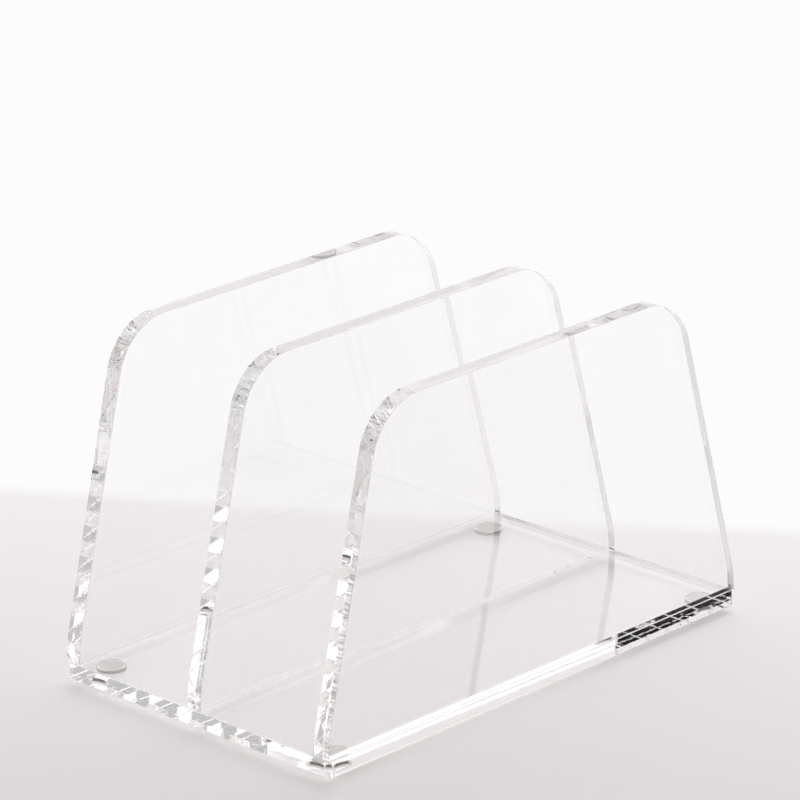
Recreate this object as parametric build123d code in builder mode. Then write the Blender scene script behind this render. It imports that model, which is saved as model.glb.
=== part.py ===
from build123d import *
import os
from math import radians, tan

# A desktop file sorter of clear acrylic sheet: three upright panels cemented across a base plate,
# which stands on four clear bumper feet. Millimetres. +Z is up, +X runs along the panels and +Y
# points from the front panel to the back one. The origin is on the desk, under the middle of the base.

# Sheet
base_sheet = 7.5            # nominal 8 mm sheet, at the thin end of its tolerance
panel_sheet = 8.3           # nominal 8 mm sheet, at the thick end
arris = 0.3                 # slight rounding that polishing leaves along every exposed edge

# Base plate
base_width = 245.0          # along X
base_depth = 155.0          # along Y
base_corner = 2.0           # radius of the four upright corners

# Panels
panel_height = 141.1        # above the cement
foot_turn_height = 8.0      # where the upright end edge leans in, above the cement
foot_turn_radius = 52.0     # of the soft bend there
lean = 14.4                 # degrees that the end edges lean in by
shoulder_radius = 27.0      # of the two top corners

# Cement between the panels and the base
cement = 0.2                # thickness of the cured layer
cement_inset = 0.4          # keeps it off the rounded edges

# Bumper feet
foot_height = 3.0
foot_diameter = 12.7
foot_rim = 1.6              # rounding of the lower rim
foot_inset = 13.0           # from both edges of the base to a foot's middle

base_bottom = foot_height
base_top = base_bottom + base_sheet
panel_bottom = base_top + cement
panel_top = panel_bottom + panel_height
half_width = base_width / 2
half_depth = base_depth / 2

# How far the end edges have leaned in where they would meet the top edge
lean_rise = panel_height - foot_turn_height
top_half_width = half_width - lean_rise * tan(radians(lean))

# The outer panels are flush with the front and back of the base, and the third stands midway
panel_middles = {
    "front": -half_depth + panel_sheet / 2,
    "middle": 0.0,
    "back": half_depth - panel_sheet / 2,
}

foot_x = half_width - foot_inset
foot_y = half_depth - foot_inset
foot_middles = {
    "foot_front_left": (-foot_x, -foot_y),
    "foot_front_right": (foot_x, -foot_y),
    "foot_back_left": (-foot_x, foot_y),
    "foot_back_right": (foot_x, foot_y),
}

os.makedirs("parts", exist_ok=True)

# Base plate: a rounded rectangle of sheet with every edge softened
with BuildPart() as base_plate:
    with BuildSketch(Plane.XY.offset(base_bottom)):
        RectangleRounded(base_width, base_depth, base_corner)
    extrude(amount=base_sheet)
    rims = base_plate.faces().sort_by(Axis.Z)[0].edges() + base_plate.faces().sort_by(Axis.Z)[-1].edges()
    fillet(rims, radius=arris)
base_plate.part.label = "base_plate"
export_step(base_plate.part, "parts/base_plate.step")

for place, middle in panel_middles.items():
    # Panel: upright at the foot, leaning in above it, with large round shoulders and a level top
    with BuildPart() as panel:
        with BuildSketch(Plane.XZ.offset(-middle)):
            with BuildLine():
                outline = FilletPolyline(
                    (-half_width, panel_bottom),
                    (-half_width, panel_bottom + foot_turn_height),
                    (-top_half_width, panel_top),
                    (top_half_width, panel_top),
                    (half_width, panel_bottom + foot_turn_height),
                    (half_width, panel_bottom),
                    radius=[foot_turn_radius, shoulder_radius, shoulder_radius, foot_turn_radius],
                )
                Line(outline @ 1, outline @ 0)
            make_face()
        extrude(amount=panel_sheet / 2, both=True)
        broad_faces = panel.faces().sort_by(Axis.Y)
        rims = broad_faces[0].edges() + broad_faces[-1].edges()
        polished = rims.filter_by(lambda edge: edge.center().Z > panel_bottom + arris / 2)
        fillet(polished, radius=arris)
    panel.part.label = place + "_panel"
    export_step(panel.part, "parts/" + place + "_panel.step")

    # Cured cement: a thin flat layer under the panel's milled bottom edge
    with BuildPart() as bond:
        with BuildSketch(Plane.XY.offset(base_top)):
            with Locations((0, middle)):
                Rectangle(base_width - 2 * base_corner, panel_sheet - 2 * cement_inset)
        extrude(amount=cement)
    bond.part.label = place + "_bond"
    export_step(bond.part, "parts/" + place + "_bond.step")

for name, (across, along) in foot_middles.items():
    # Bumper foot: a flat disc stuck under the base, with a soft lower rim
    with BuildPart() as foot:
        with BuildSketch(Plane.XY):
            with Locations((across, along)):
                Circle(foot_diameter / 2)
        extrude(amount=foot_height)
        fillet(foot.edges().group_by(Axis.Z)[0], radius=foot_rim)
    foot.part.label = name
    export_step(foot.part, "parts/" + name + ".step")
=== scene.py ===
from collections import namedtuple
from math import cos, pi, radians, sin, tan

import bpy
from mathutils import Matrix, Vector
from mathutils.geometry import tessellate_polygon


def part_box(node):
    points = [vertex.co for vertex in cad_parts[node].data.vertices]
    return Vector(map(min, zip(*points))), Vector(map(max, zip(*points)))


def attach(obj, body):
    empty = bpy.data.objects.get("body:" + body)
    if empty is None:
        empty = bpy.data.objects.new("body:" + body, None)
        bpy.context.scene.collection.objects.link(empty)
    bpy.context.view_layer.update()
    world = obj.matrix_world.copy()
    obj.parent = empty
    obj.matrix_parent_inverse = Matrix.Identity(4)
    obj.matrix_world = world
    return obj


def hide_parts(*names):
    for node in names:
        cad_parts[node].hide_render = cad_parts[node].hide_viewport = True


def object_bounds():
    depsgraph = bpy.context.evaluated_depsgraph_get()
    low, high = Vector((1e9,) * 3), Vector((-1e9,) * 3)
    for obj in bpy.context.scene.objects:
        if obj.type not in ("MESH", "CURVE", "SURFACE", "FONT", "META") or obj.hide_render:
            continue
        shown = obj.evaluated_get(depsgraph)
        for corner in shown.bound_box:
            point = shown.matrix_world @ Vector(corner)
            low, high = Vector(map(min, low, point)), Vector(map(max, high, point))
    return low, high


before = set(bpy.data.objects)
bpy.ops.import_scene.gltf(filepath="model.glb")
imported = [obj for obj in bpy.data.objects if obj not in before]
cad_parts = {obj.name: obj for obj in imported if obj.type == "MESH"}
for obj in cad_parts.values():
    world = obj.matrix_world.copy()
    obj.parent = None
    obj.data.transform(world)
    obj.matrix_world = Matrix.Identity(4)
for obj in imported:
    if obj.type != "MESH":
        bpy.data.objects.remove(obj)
cad_low, cad_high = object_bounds()

# Every CAD solid is replaced by a mesh of its shape, which differs only where pieces meet, by well under a
# millimetre. The meshes have exact normals on their rounded arrises, and the areas that cement wets or a
# foot is stuck to are faces of their own, which light crosses unbent.

# ---------------------------------------------------------------- sizes, in metres

MM = 0.001

# as in the CAD
ARRIS = 0.3 * MM                # rounding along the polished edges
BASE_CORNER = 2.0 * MM          # upright corners of the base plate
TURN_HEIGHT = 8.0 * MM          # where a panel's upright ends turn and lean in
TURN_RADIUS = 52.0 * MM
LEAN = radians(14.4)
SHOULDER_RADIUS = 27.0 * MM
FOOT_RIM = 1.6 * MM             # rounding round the sole of a foot

# where pieces meet
FOOT_LAP = 0.03 * MM            # how far a foot runs into the base, so that light passes between them
JOINT_INSET = 0.6 * MM          # from a panel's ends to the cemented area under it
JOINT_MARGIN = 0.4 * MM         # from a panel's faces, or a foot's side, to the cemented area
CEMENT_SKIN = 0.02 * MM         # keeps the cement's faces out of its neighbours' planes
CEMENT_CORNER = 0.5 * MM
CEMENT_ARRIS = 0.05 * MM

ARRIS_STEPS = 3
TURN_STEPS = 16
SHOULDER_STEPS = 48
CORNER_STEPS = 12
RIM_STEPS = 12
ROUND_STEPS = 64                # round a foot, and round the place where it is stuck

# ---------------------------------------------------------------- looks

SHEET_INDEX = 1.6               # refractive index of the sheet, the squeezed-out cement and the feet
UNBENT = 1.0                    # index of a wetted face, which light crosses as if it were not there

SHEET_TINTS = ((0.994, 0.991, 0.989), (0.987, 0.989, 0.99))
EDGE_TINTS = ((0.994, 0.991, 0.989), (0.988, 0.972, 0.966))
CLEAN_CUT = EDGE_TINTS[1]       # tint of the deepest cutting marks, with no painted shade in them
PAINTED_SHADE_CUT = (0.38, 0.36, 0.35)  # painted shade: a dark tint in the front panel's deepest cutting marks, standing in for the darker strip that its internal reflections leave there
JOINT_TINTS = ((1.0, 1.0, 1.0), (0.998, 0.998, 0.997))
CEMENT_TINTS = ((0.998, 0.998, 0.997), (0.985, 0.985, 0.983))
# The feet's tints are painted shade: the sole and rim are greyed and the side is near black, standing in for
# the shade and dark reflections round the feet under the base.
SOLE_PAINTED_SHADE_TINTS = ((0.93, 0.91, 0.90), (0.88, 0.86, 0.85))
RIM_PAINTED_SHADE_TINTS = ((0.86, 0.83, 0.82), (0.76, 0.73, 0.72))
SIDE_PAINTED_SHADE_TINTS = ((0.05, 0.046, 0.043), (0.03, 0.027, 0.025))

FACE_WAVE = 0.008 * MM          # height of the slow waves in a broad face
PANEL_RIPPLE = 0.010 * MM       # height of the ripple in a polished edge
BASE_RIPPLE = 0.03 * MM
FAINT_MARKS = 0.02 * MM         # depth of the cutting marks
BASE_MARKS = 0.03 * MM
STRONG_MARKS = 0.12 * MM
FINE_GRAIN = 0.01 * MM          # height of the grain in the cement's border and the feet

# grains to the metre along X, Y and Z
HAIRLINES = ((900, 900, 30), (40, 900, 700))
PANEL_CUTS = (60, 60, 900)      # long through the sheet and close together up its edge
BASE_CUTS = (500, 500, 60)

MARKS_ACROSS = (0.28, 0.4)      # share of an edge's thickness over which its marks, and the front panel's painted shade, fade out
MARKS_UP = (0.58, 0.66)         # share of a panel's height over which they fade out

SMUDGE_ROUGHNESS = 0.012
HAIRLINE_ROUGHNESS = 0.03
EDGE_ROUGHNESS = 0.03
JOINT_ROUGHNESS = 0.01
CEMENT_ROUGHNESS = (0.02, 0.12)
BUMPER_ROUGHNESS = (0.08, 0.25)
PAPER_ROUGHNESS = 0.6

# ---------------------------------------------------------------- stage

FLOOR_REACH = 8.0               # from the middle to each side
FLOOR_GAP = 0.05 * MM           # under the feet
FLOOR_TURN = radians(57)        # from +Y towards +X, the way in which the paper turns paler, out of its painted shadow
PAPER_PAINTED_SHADOW = (0.70, 0.662, 0.667)
PAPER_MIDDLE = (0.86, 0.828, 0.835)
PAPER_FAR = (0.945, 0.942, 0.945)
PAPER_FADE = (-0.2, 0.15)       # metres that way, from the painted shadow's tone to the middle one
PAPER_LINE = (0.15, 0.165)      # and from the middle tone to the far one

# Round panels in the room, in degrees as seen from the sorter. edge is the width of the soft border.
# Azimuth 0 is +Y, behind the sorter, and 90 is +X, beyond its right end.
RoomPanel = namedtuple("RoomPanel", "azimuth elevation radius edge level")

ROOM_BRIGHTNESS = 0.66
SOFTBOXES = (                   # their level is added to the room's
    RoomPanel(azimuth=45, elevation=20, radius=45, edge=25, level=0.44),    # backdrop beyond the sorter
    RoomPanel(azimuth=80, elevation=65, radius=25, edge=20, level=0.8),     # overhead, right and behind
)
CARDS = (                       # the room's brightness is multiplied by theirs
    RoomPanel(azimuth=-45, elevation=18, radius=13, edge=6, level=0.0),     # black, beyond the left end
    RoomPanel(azimuth=135, elevation=20, radius=10, edge=12, level=0.85),   # grey, beyond the right end
)

CAMERA_AZIMUTH = 45.112         # degrees, the way that the camera looks
CAMERA_ELEVATION = 19.696       # and how far down it looks
CAMERA_ROLL = -1.246            # anticlockwise, as seen from behind the camera
CAMERA_AIM = Vector((0.00336, 0.00365, 0.10968))
CAMERA_DISTANCE = 2.03          # from the place that it looks at
CAMERA_CLIP_END = 50
CAMERA_LENS = 218.94            # millimetres

COMBINED_CURVE = 3              # the tone curve of red, green and blue together
TONE_POINTS = ((0.09, 0.02), (0.2, 0.18))       # (light, shown) in a print's darkest tones
CLEAR_BOUNCES = 500             # light in a polished edge is reflected many times
FLOOR_BOUNCES = 4


# ---------------------------------------------------------------- outlines

def arc_points(centre, radius, start, end, steps):
    """Points and outward normals along an arc, from angle start to angle end."""
    rows = []
    for i in range(steps + 1):
        angle = start + (end - start) * i / steps
        normal = Vector((cos(angle), sin(angle)))
        rows.append((Vector(centre) + radius * normal, normal))
    return rows


def panel_outline(half_width, height):
    """Left half of a panel's outline in X and Z, from the foot to the end of the shoulder."""
    top_half = half_width - (height - TURN_HEIGHT) * tan(LEAN)
    turn_length = TURN_RADIUS * tan(LEAN / 2)
    shoulder_length = SHOULDER_RADIUS * tan((pi / 2 - LEAN) / 2)
    rows = [(Vector((-half_width, 0)), Vector((-1, 0)))]
    rows += arc_points((-half_width + TURN_RADIUS, TURN_HEIGHT - turn_length),
                       TURN_RADIUS, pi, pi - LEAN, TURN_STEPS)
    rows += arc_points((-top_half + shoulder_length, height - SHOULDER_RADIUS),
                       SHOULDER_RADIUS, pi - LEAN, pi / 2, SHOULDER_STEPS)
    return rows


def plate_outline(half_width, half_depth, radius, stops=()):
    """Left half of a rounded rectangle, from its front edge round two corners to its back edge.

    stops are extra places along its left side.
    """
    rows = arc_points((-half_width + radius, -half_depth + radius), radius, -pi / 2, -pi, CORNER_STEPS)
    rows += [(Vector((-half_width, stop)), Vector((-1, 0))) for stop in stops]
    rows += arc_points((-half_width + radius, half_depth - radius), radius, pi, pi / 2, CORNER_STEPS)
    return rows


# ---------------------------------------------------------------- mesh pieces

FACE, EDGE, JOINT = range(3)            # material slots of a slab: broad faces, edges, cemented areas
SOLE, RIM, SIDE, TOP = range(4)         # material slots of a foot


def linked_object(name, data):
    piece = bpy.data.objects.new(name, data)
    bpy.context.scene.collection.objects.link(piece)
    return piece


def outwards(points, corners, corner_normals):
    """The face with its corners in the order that makes it face the way its corner normals do."""
    area = sum(((points[a] - points[corners[0]]).cross(points[b] - points[corners[0]])
                for a, b in zip(corners[1:], corners[2:])), Vector())
    if area.dot(sum(corner_normals, Vector())) < 0:
        return corners[::-1], corner_normals[::-1]
    return corners, corner_normals


def mesh_object(name, points, faces, slots):
    """A smooth-shaded mesh object. faces are (corners, corner normals) rows, with a material slot each."""
    faces = [outwards(points, corners, corner_normals) for corners, corner_normals in faces]
    mesh = bpy.data.meshes.new(name)
    mesh.from_pydata([tuple(p) for p in points], [], [corners for corners, corner_normals in faces])
    mesh.polygons.foreach_set("use_smooth", [True] * len(faces))
    mesh.polygons.foreach_set("material_index", slots)
    mesh.normals_split_custom_set([tuple(n) for corners, corner_normals in faces for n in corner_normals])
    mesh.update()
    return linked_object(name, mesh)


def arris_levels(half, arris):
    """Levels through a sheet, from its lower face to its upper one.

    Each is (inset from the outline, height, outward part of the normal, upward part of the normal).
    """
    levels = []
    for i in range(ARRIS_STEPS + 1):
        angle = (pi / 2) * i / ARRIS_STEPS
        inset, rise = arris * (1 - sin(angle)), arris * (1 - cos(angle))
        levels.append((inset, -half + rise, sin(angle), -cos(angle)))
    return levels + [(inset, -w, out, -up) for inset, w, out, up in reversed(levels)]


class Slab:
    """Points and faces of a slab with rounded arrises, such as a sheet or a layer of cement.

    outline is its left half as (point, normal) rows, mirrored to make the right half. place(u, v, w) turns
    outline coordinates u, v and the height w through the sheet into the row frame. A ring of points goes
    round the slab at each level, and count is how many a ring has.
    """

    def __init__(self, outline, thickness, place, arris):
        self.outline = outline
        self.place = place
        self.levels = arris_levels(thickness / 2, arris)
        self.points = []
        self.normals = []
        self.faces = []
        self.slots = []
        self.stuck = [[] for level in self.levels]      # ends of the cemented area in a square edge
        around = outline + [(Vector((-p.x, p.y)), Vector((-n.x, n.y))) for p, n in reversed(outline)]
        self.count = len(around)
        for inset, w, out, up in self.levels:
            for p, n in around:
                q = p - inset * n
                self.points.append(place(q.x, q.y, w))
                self.normals.append(self.direction(out * n.x, out * n.y, up))

    def direction(self, u, v, w):
        return (self.place(u, v, w) - self.place(0, 0, 0)).normalized()

    def add(self, corners, corner_normals, slot):
        self.faces.append((corners, corner_normals))
        self.slots.append(slot)

    def add_sides(self, closed):
        """The rounded side: all the way round, or all but the stretch between the outline's lower ends."""
        for level in range(len(self.levels) - 1):
            row = level * self.count
            for i in range(self.count if closed else self.count - 1):
                j = (i + 1) % self.count
                corners = [row + i, row + j, row + self.count + j, row + self.count + i]
                self.add(corners, [self.normals[c] for c in corners], EDGE)

    def add_square_edge(self):
        """The square edge between the outline's lower ends, cemented over the middle of its flat."""
        foot = self.outline[0][0]
        for level, (inset, w, out, up) in enumerate(self.levels):
            self.stuck[level] = [len(self.points), len(self.points) + 1]
            for u in (foot.x + JOINT_INSET, -foot.x - JOINT_INSET):
                self.points.append(self.place(u, foot.y, w))
        edge_rows = []
        for level, stuck in enumerate(self.stuck):
            edge_rows.append([level * self.count, *stuck, (level + 1) * self.count - 1])
        flat = len(edge_rows) // 2 - 1
        for level, (near, far) in enumerate(zip(edge_rows, edge_rows[1:])):
            for i in range(len(near) - 1):
                corners = [near[i], near[i + 1], far[i + 1], far[i]]
                cemented = level == flat and i == 1
                self.add(corners, [self.direction(0, -1, 0)] * 4, JOINT if cemented else EDGE)

    def add_lower_face(self, spots):
        """The lower broad face, with a round cemented area at each of spots, which are (u, v, radius)."""
        down = self.direction(0, 0, -1)
        height = self.levels[0][1]
        loops = [list(range(self.count)) + self.stuck[0][::-1]]
        for u, v, radius in spots:
            start = len(self.points)
            circle = arc_points((u, v), radius, 0, 2 * pi, ROUND_STEPS)[:-1]
            self.points += [self.place(p.x, p.y, height) for p, n in circle]
            loops.append(list(range(start, len(self.points))))
            self.add(loops[-1], [down] * ROUND_STEPS, JOINT)
        all_corners = [c for loop in loops for c in loop]
        for triangle in tessellate_polygon([[self.points[c] for c in loop] for loop in loops]):
            self.add([all_corners[i] for i in triangle], [down] * 3, FACE)

    def add_upper_face(self, cemented):
        """The upper broad face, as strips across it. cemented(u, v) says which of them are cemented."""
        up = self.direction(0, 0, 1)
        row = (len(self.levels) - 1) * self.count
        for i in range(len(self.outline) - 1):
            between = self.stuck[-1] if i == 0 else []
            corners = [row + i, *between, row + self.count - 1 - i, row + self.count - 2 - i, row + i + 1]
            middle = (self.outline[i][0] + self.outline[i + 1][0]) / 2
            self.add(corners, [up] * len(corners), JOINT if cemented(middle.x, middle.y) else FACE)


def nowhere(u, v):
    """For a face with no cemented area."""
    return False


def closed_sheet(name, outline, thickness, place, arris=ARRIS, cemented=nowhere, spots=()):
    """A slab rounded all the way round. Its upper face may be cemented, and its lower one in round spots."""
    slab = Slab(outline, thickness, place, arris)
    slab.add_sides(closed=True)
    slab.add_lower_face(spots)
    slab.add_upper_face(cemented)
    return mesh_object(name, slab.points, slab.faces, slab.slots)


def standing_sheet(name, outline, thickness, place):
    """A sheet that stands on a square, cemented edge."""
    slab = Slab(outline, thickness, place, ARRIS)
    slab.add_sides(closed=False)
    slab.add_square_edge()
    slab.add_lower_face(spots=())
    slab.add_upper_face(nowhere)
    return mesh_object(name, slab.points, slab.faces, slab.slots)


def turned_piece(name, centre, profile, slots):
    """A turned solid about the upright line through centre.

    profile is (radius, height, (outward, upward) normal) rows, bottom to top. slots are the material slots
    of the underside, of the band between each two rows and of the top.
    """
    points, normals, faces = [], [], []
    for radius, height, (out, up) in profile:
        for i in range(ROUND_STEPS):
            angle = 2 * pi * i / ROUND_STEPS
            points.append(centre + Vector((radius * cos(angle), radius * sin(angle), height)))
            normals.append(Vector((out * cos(angle), out * sin(angle), up)).normalized())
    last = (len(profile) - 1) * ROUND_STEPS
    for row in range(0, last, ROUND_STEPS):
        for i in range(ROUND_STEPS):
            j = (i + 1) % ROUND_STEPS
            corners = [row + i, row + j, row + ROUND_STEPS + j, row + ROUND_STEPS + i]
            faces.append((corners, [normals[c] for c in corners]))
    faces.append((list(range(ROUND_STEPS)), [Vector((0, 0, -1))] * ROUND_STEPS))
    faces.append((list(range(last, last + ROUND_STEPS)), [Vector((0, 0, 1))] * ROUND_STEPS))
    underside, *bands, top = slots
    face_slots = [band for band in bands for i in range(ROUND_STEPS)] + [underside, top]
    return mesh_object(name, points, faces, face_slots)


# ---------------------------------------------------------------- shader nodes

def new_material(name):
    material = bpy.data.materials.new(name)
    material.use_nodes = True
    return material, material.node_tree, material.node_tree.nodes["Principled BSDF"]


def noise(tree, scale, detail=2.0, stretch=(1, 1, 1)):
    """A noise from 0 to 1 in the row frame, with about scale times stretch grains to the metre."""
    coords = tree.nodes.new("ShaderNodeTexCoord")
    mapping = tree.nodes.new("ShaderNodeMapping")
    mapping.inputs["Scale"].default_value = stretch
    tree.links.new(coords.outputs["Object"], mapping.inputs["Vector"])
    texture = tree.nodes.new("ShaderNodeTexNoise")
    texture.inputs["Scale"].default_value = scale
    texture.inputs["Detail"].default_value = detail
    tree.links.new(mapping.outputs["Vector"], texture.inputs["Vector"])
    return texture.outputs["Fac"]


def across(tree, axis):
    """0 to 1 from the low side of a piece to its high side, along one axis."""
    coords = tree.nodes.new("ShaderNodeTexCoord")
    split = tree.nodes.new("ShaderNodeSeparateXYZ")
    tree.links.new(coords.outputs["Generated"], split.inputs["Vector"])
    return split.outputs[axis]


def combine(tree, first, second, operation):
    """Two values, each a number or a socket, put through a Math node."""
    node = tree.nodes.new("ShaderNodeMath")
    node.operation = operation
    for i, value in enumerate((first, second)):
        if isinstance(value, (int, float)):
            node.inputs[i].default_value = value
        else:
            tree.links.new(value, node.inputs[i])
    return node.outputs[0]


def dotted(tree, source, direction):
    """The dot product of a vector socket and a fixed direction."""
    node = tree.nodes.new("ShaderNodeVectorMath")
    node.operation = "DOT_PRODUCT"
    node.inputs[1].default_value = direction
    tree.links.new(source, node.inputs[0])
    return node.outputs["Value"]


def blend(tree, source, first, second):
    """A colour between first and second, each a colour or a socket, as source goes from 0 to 1."""
    mix = tree.nodes.new("ShaderNodeMix")
    mix.data_type = "RGBA"
    for name, colour in (("A", first), ("B", second)):
        if isinstance(colour, tuple):
            mix.inputs[name].default_value = (*colour, 1)
        else:
            tree.links.new(colour, mix.inputs[name])
    tree.links.new(source, mix.inputs["Factor"])
    return mix.outputs["Result"]


def ranged(tree, source, span, result=(0, 1)):
    """Goes evenly through result as source goes through span, and stays at its ends outside span."""
    node = tree.nodes.new("ShaderNodeMapRange")
    for name, value in zip(("From Min", "From Max", "To Min", "To Max"), (*span, *result)):
        node.inputs[name].default_value = value
    tree.links.new(source, node.inputs["Value"])
    return node.outputs["Result"]


def set_roughness(tree, shader, value):
    tree.links.new(value, shader.inputs["Roughness"])


def set_bump(tree, shader, source, height):
    """Raises the surface by height where source is 1."""
    node = tree.nodes.new("ShaderNodeBump")
    node.inputs["Distance"].default_value = height
    tree.links.new(source, node.inputs["Height"])
    tree.links.new(node.outputs["Normal"], shader.inputs["Normal"])


# ---------------------------------------------------------------- materials

def clear_material(name, tints, index, patches):
    """Clear plastic whose tint drifts between two colours. patches is how many there are to the metre."""
    material, tree, shader = new_material(name)
    shader.inputs["Transmission Weight"].default_value = 1.0
    shader.inputs["IOR"].default_value = index
    drift = ranged(tree, noise(tree, scale=patches, detail=3), span=(0.35, 0.65))
    tree.links.new(blend(tree, drift, *tints), shader.inputs["Base Color"])
    return material, tree, shader


def face_material():
    """Broad faces: glossy and slightly wavy, with faint finger smudges and hairlines in two directions."""
    material, tree, shader = clear_material("acrylic_face", SHEET_TINTS, SHEET_INDEX, patches=6)
    rough = ranged(tree, noise(tree, scale=22, detail=6), span=(0.55, 0.75), result=(0, SMUDGE_ROUGHNESS))
    for stretch in HAIRLINES:
        hairs = noise(tree, scale=1, stretch=stretch)
        hairs = ranged(tree, hairs, span=(0.66, 0.78), result=(0, HAIRLINE_ROUGHNESS))
        rough = combine(tree, rough, hairs, "MAXIMUM")
    set_roughness(tree, shader, rough)
    set_bump(tree, shader, noise(tree, scale=30, detail=1), FACE_WAVE)
    return material


def panel_marked_and_shaded_area(tree):
    """1 on the front side of a panel's lower part, where the cut came out and where the front panel has its
    painted shade.
    """
    sideways = ranged(tree, across(tree, "Y"), span=MARKS_ACROSS, result=(1, 0))
    upwards = ranged(tree, across(tree, "Z"), span=MARKS_UP, result=(1, 0))
    return combine(tree, sideways, upwards, "MULTIPLY")


def base_marked_area(tree):
    """1 on the lower side of the base's edges, where the cut came out."""
    return ranged(tree, across(tree, "Z"), span=MARKS_ACROSS, result=(1, 0))


def edge_material(name, marked_area, stretch, ripple, depth, cut_tint_and_painted_shade):
    """Cut and polished edges: a soft ripple, and cutting marks left over a part of them.

    marked_area(tree) gives that part, and stretch the marks' grains to the metre. ripple and depth are
    heights, and cut_tint_and_painted_shade is the tint of the deepest marks, which is painted shade on the
    front panel.
    """
    material, tree, shader = clear_material(name, EDGE_TINTS, SHEET_INDEX, patches=40)
    rough = ranged(tree, noise(tree, scale=120, detail=5), span=(0.4, 0.75), result=(0, EDGE_ROUGHNESS))
    set_roughness(tree, shader, rough)
    marked = marked_area(tree)
    marks = noise(tree, scale=1, stretch=stretch)
    deepest = combine(tree, ranged(tree, marks, span=(0.38, 0.6), result=(1, 0)), marked, "MULTIPLY")
    tint = shader.inputs["Base Color"].links[0].from_socket
    # on the front panel this darkens the deepest marks with painted shade
    tree.links.new(blend(tree, deepest, tint, cut_tint_and_painted_shade), shader.inputs["Base Color"])
    ripples = combine(tree, noise(tree, scale=110), ripple, "MULTIPLY")
    cuts = combine(tree, combine(tree, marks, depth, "MULTIPLY"), marked, "MULTIPLY")
    set_bump(tree, shader, combine(tree, ripples, cuts, "ADD"), height=1.0)
    return material


def joint_material(name, tints):
    """A wetted face: nothing is seen of it but a faint tint."""
    material, tree, shader = clear_material(name, tints, UNBENT, patches=180)
    rough = ranged(tree, noise(tree, scale=400, detail=4), span=(0.4, 0.75), result=(0, JOINT_ROUGHNESS))
    set_roughness(tree, shader, rough)
    return material


def cement_edge_material():
    """The squeezed-out border of the cement: clear with a slight haze and small ripples."""
    material, tree, shader = clear_material("cement_edge", CEMENT_TINTS, SHEET_INDEX, patches=180)
    haze = ranged(tree, noise(tree, scale=400, detail=4), span=(0.4, 0.75), result=CEMENT_ROUGHNESS)
    set_roughness(tree, shader, haze)
    set_bump(tree, shader, noise(tree, scale=900), FINE_GRAIN)
    return material


def bumper_material(name, tints, index=SHEET_INDEX):
    """Soft moulded polyurethane: satin, with a fine grain and a little dust. The tints that it is given here
    are painted shade.
    """
    material, tree, shader = clear_material(name, tints, index, patches=250)
    satin = ranged(tree, noise(tree, scale=300, detail=4), span=(0.35, 0.7), result=BUMPER_ROUGHNESS)
    set_roughness(tree, shader, satin)
    set_bump(tree, shader, noise(tree, scale=1500, detail=3), FINE_GRAIN)
    return material


def panel_edge_material(name, depth, cut_tint_and_painted_shade):
    return edge_material(name, panel_marked_and_shaded_area, PANEL_CUTS, PANEL_RIPPLE, depth, cut_tint_and_painted_shade)


face_clear = face_material()
panel_edge = panel_edge_material("acrylic_panel_edge", FAINT_MARKS, CLEAN_CUT)
marked_edge_with_painted_shade = panel_edge_material("acrylic_marked_edge_painted_shade", STRONG_MARKS, PAINTED_SHADE_CUT)
base_edge = edge_material("acrylic_base_edge", base_marked_area, BASE_CUTS, BASE_RIPPLE, BASE_MARKS,
                          CLEAN_CUT)
joint_clear = joint_material("acrylic_joint", JOINT_TINTS)
cement = joint_material("cement_cured", CEMENT_TINTS)
cement_edge = cement_edge_material()
# painted shade on the feet: a greyed sole and rim, and a near-black side
bumper_sole_painted_shade = bumper_material("bumper_sole_painted_shade", SOLE_PAINTED_SHADE_TINTS, UNBENT)
bumper_rim_painted_shade = bumper_material("bumper_rim_painted_shade", RIM_PAINTED_SHADE_TINTS)
bumper_side_painted_shade = bumper_material("bumper_side_painted_shade", SIDE_PAINTED_SHADE_TINTS)


# ---------------------------------------------------------------- the pieces

def dress(piece, materials, node):
    """Gives a piece its materials, and puts it in place of its CAD node."""
    for material in materials:
        piece.data.materials.append(material)
    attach(piece, "root")
    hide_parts(node)


def nodes_named(start="", end=""):
    return [node for node in sorted(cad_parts) if node.startswith(start) and node.endswith(end)]


def joint_strips():
    """Front and back limits of the cemented strip under each panel, front to back."""
    strips = []
    for node in nodes_named(end="_panel"):
        low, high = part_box(node)
        strips.append((low.y + JOINT_MARGIN, high.y - JOINT_MARGIN))
    return sorted(strips)


def foot_spots():
    """The (x, y, radius) of the area that each foot is stuck to."""
    spots = []
    for node in nodes_named(start="foot_"):
        low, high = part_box(node)
        spots.append(((low.x + high.x) / 2, (low.y + high.y) / 2, (high.x - low.x) / 2 - JOINT_MARGIN))
    return spots


def build_panel(node):
    low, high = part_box(node)
    middle = (low.y + high.y) / 2

    def place(u, v, w):
        return Vector((u, middle + w, low.z + v))

    outline = panel_outline((high.x - low.x) / 2, high.z - low.z)
    piece = standing_sheet(node + "_sheet", outline, high.y - low.y, place)
    edge = marked_edge_with_painted_shade if node == "front_panel" else panel_edge     # only the front one shows its cut, darkened there with painted shade
    dress(piece, [face_clear, edge, joint_clear], node)


def build_base(node):
    low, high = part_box(node)
    middle = (low.z + high.z) / 2
    half_depth = (high.y - low.y) / 2
    strips = joint_strips()
    # the upper face is divided at the limits of the strips, where they lie between the rounded corners
    stops = [stop for strip in strips for stop in strip if abs(stop) < half_depth - BASE_CORNER]

    def place(u, v, w):
        return Vector((u, v, middle + w))

    def cemented(u, v):
        return any(front < v < back for front, back in strips)

    outline = plate_outline((high.x - low.x) / 2, half_depth, BASE_CORNER, stops)
    piece = closed_sheet(node + "_sheet", outline, high.z - low.z, place,
                         cemented=cemented, spots=foot_spots())
    dress(piece, [face_clear, base_edge, joint_clear], node)


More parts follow.
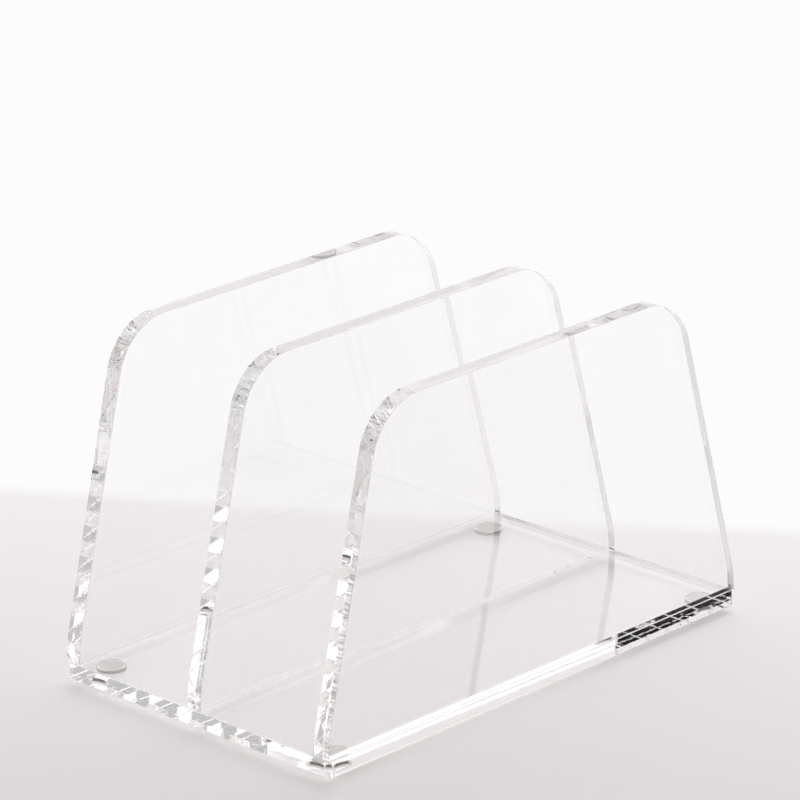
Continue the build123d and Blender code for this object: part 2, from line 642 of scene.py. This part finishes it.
def build_bond(node):
    low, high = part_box(node)
    middle_y = (low.y + high.y) / 2
    middle_z = (low.z + high.z) / 2
    # the cement fills the strip that it lies nearest to
    front, back = min(joint_strips(), key=lambda strip: abs(sum(strip) / 2 - middle_y))

    def place(u, v, w):
        return Vector((u, middle_y + v, middle_z + w))

    outline = plate_outline((high.x - low.x) / 2, (back - front) / 2, CEMENT_CORNER)
    thickness = high.z - low.z - 2 * CEMENT_SKIN
    piece = closed_sheet(node + "_layer", outline, thickness, place, arris=CEMENT_ARRIS)
    dress(piece, [cement, cement_edge], node)


def foot_profile(radius, height):
    """A foot from its sole up: a rounded rim and an upright side."""
    profile = []
    for i in range(RIM_STEPS + 1):
        angle = (pi / 2) * i / RIM_STEPS
        inset, rise = FOOT_RIM * (1 - sin(angle)), FOOT_RIM * (1 - cos(angle))
        profile.append((radius - inset, rise, (sin(angle), -cos(angle))))
    return profile + [(radius, height, (1, 0))]


def build_foot(node):
    low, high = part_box(node)
    centre = Vector(((low.x + high.x) / 2, (low.y + high.y) / 2, low.z))
    profile = foot_profile((high.x - low.x) / 2, high.z - low.z + FOOT_LAP)
    slots = [SOLE, *[RIM] * RIM_STEPS, SIDE, TOP]
    piece = turned_piece(node + "_bumper", centre, profile, slots)
    dress(piece, [bumper_sole_painted_shade, bumper_rim_painted_shade, bumper_side_painted_shade, joint_clear], node)


for node in sorted(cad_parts):
    if node.endswith("_panel"):
        build_panel(node)
    elif node.endswith("_bond"):
        build_bond(node)
    elif node.startswith("foot_"):
        build_foot(node)
    else:
        build_base(node)


# ---------------------------------------------------------------- floor, light and camera

def floor_material():
    """Paper with a painted shadow: a warm grey towards the front left that goes to a paler one, and past a
    soft line behind the sorter to white.
    """
    material, tree, shader = new_material("floor_paper")
    shader.inputs["Roughness"].default_value = PAPER_ROUGHNESS
    shader.inputs["Specular IOR Level"].default_value = 0.0
    coords = tree.nodes.new("ShaderNodeTexCoord")
    along = dotted(tree, coords.outputs["Object"], (sin(FLOOR_TURN), cos(FLOOR_TURN), 0))
    # near is the painted shadow, which fades into the middle tone
    near = blend(tree, ranged(tree, along, PAPER_FADE), PAPER_PAINTED_SHADOW, PAPER_MIDDLE)
    paper = blend(tree, ranged(tree, along, PAPER_LINE), near, PAPER_FAR)
    tree.links.new(paper, shader.inputs["Base Color"])
    return material


def build_floor():
    z = cad_low.z - FLOOR_GAP
    corners = [(x * FLOOR_REACH, y * FLOOR_REACH, z) for x, y in ((-1, -1), (1, -1), (1, 1), (-1, 1))]
    mesh = bpy.data.meshes.new("floor")
    mesh.from_pydata(corners, [], [(0, 1, 2, 3)])
    mesh.materials.append(floor_material())
    linked_object("floor", mesh)


def room_direction(azimuth, elevation):
    """Unit vector towards a place in the room."""
    turn, rise = radians(azimuth), radians(elevation)
    return Vector((sin(turn) * cos(rise), cos(turn) * cos(rise), sin(rise)))


def room_panel(tree, coords, panel, outside):
    """A panel's level inside it, and outside it the value given, with a soft edge between."""
    nearness = dotted(tree, coords.outputs["Generated"], room_direction(panel.azimuth, panel.elevation))
    span = (cos(radians(panel.radius + panel.edge)), cos(radians(panel.radius)))
    return ranged(tree, nearness, span, result=(outside, panel.level))


def light_room():
    """A studio as a world: an even room, with softboxes and with cards that hold its light back."""
    world = bpy.data.worlds.new("studio")
    bpy.context.scene.world = world
    world.use_nodes = True
    tree = world.node_tree
    coords = tree.nodes.new("ShaderNodeTexCoord")
    total = ROOM_BRIGHTNESS
    for panel in SOFTBOXES:
        total = combine(tree, total, room_panel(tree, coords, panel, outside=0), "ADD")
    for panel in CARDS:
        total = combine(tree, total, room_panel(tree, coords, panel, outside=1), "MULTIPLY")
    background = tree.nodes["Background"]
    tree.links.new(total, background.inputs["Strength"])
    background.inputs["Color"].default_value = (1, 1, 1, 1)


def place_camera():
    turn, roll = radians(CAMERA_AZIMUTH), radians(CAMERA_ROLL)
    view = room_direction(CAMERA_AZIMUTH, -CAMERA_ELEVATION)
    right = Vector((cos(turn), -sin(turn), 0))
    up = right.cross(view)
    right, up = cos(roll) * right + sin(roll) * up, cos(roll) * up - sin(roll) * right
    data = bpy.data.cameras.new("camera")
    data.lens = CAMERA_LENS
    data.clip_end = CAMERA_CLIP_END
    camera = linked_object("camera", data)
    axes = Matrix((right, up, -view)).transposed()
    camera.matrix_world = Matrix.Translation(CAMERA_AIM - CAMERA_DISTANCE * view) @ axes.to_4x4()
    bpy.context.scene.camera = camera


def deepen_shadows(view):
    """A print's tone curve: the darkest tones go deeper and the rest stay as they are."""
    view.use_curve_mapping = True
    tones = view.curve_mapping.curves[COMBINED_CURVE].points
    for light, shown in TONE_POINTS:
        tones.new(light, shown)
    for point in tones:
        point.handle_type = "VECTOR"
    view.curve_mapping.update()


build_floor()
light_room()
place_camera()

scene = bpy.context.scene
scene.view_settings.view_transform = "Standard"
deepen_shadows(scene.view_settings)
scene.cycles.max_bounces = CLEAR_BOUNCES
scene.cycles.transmission_bounces = CLEAR_BOUNCES
scene.cycles.glossy_bounces = CLEAR_BOUNCES
scene.cycles.diffuse_bounces = FLOOR_BOUNCES
scene.cycles.blur_glossy = 0.0
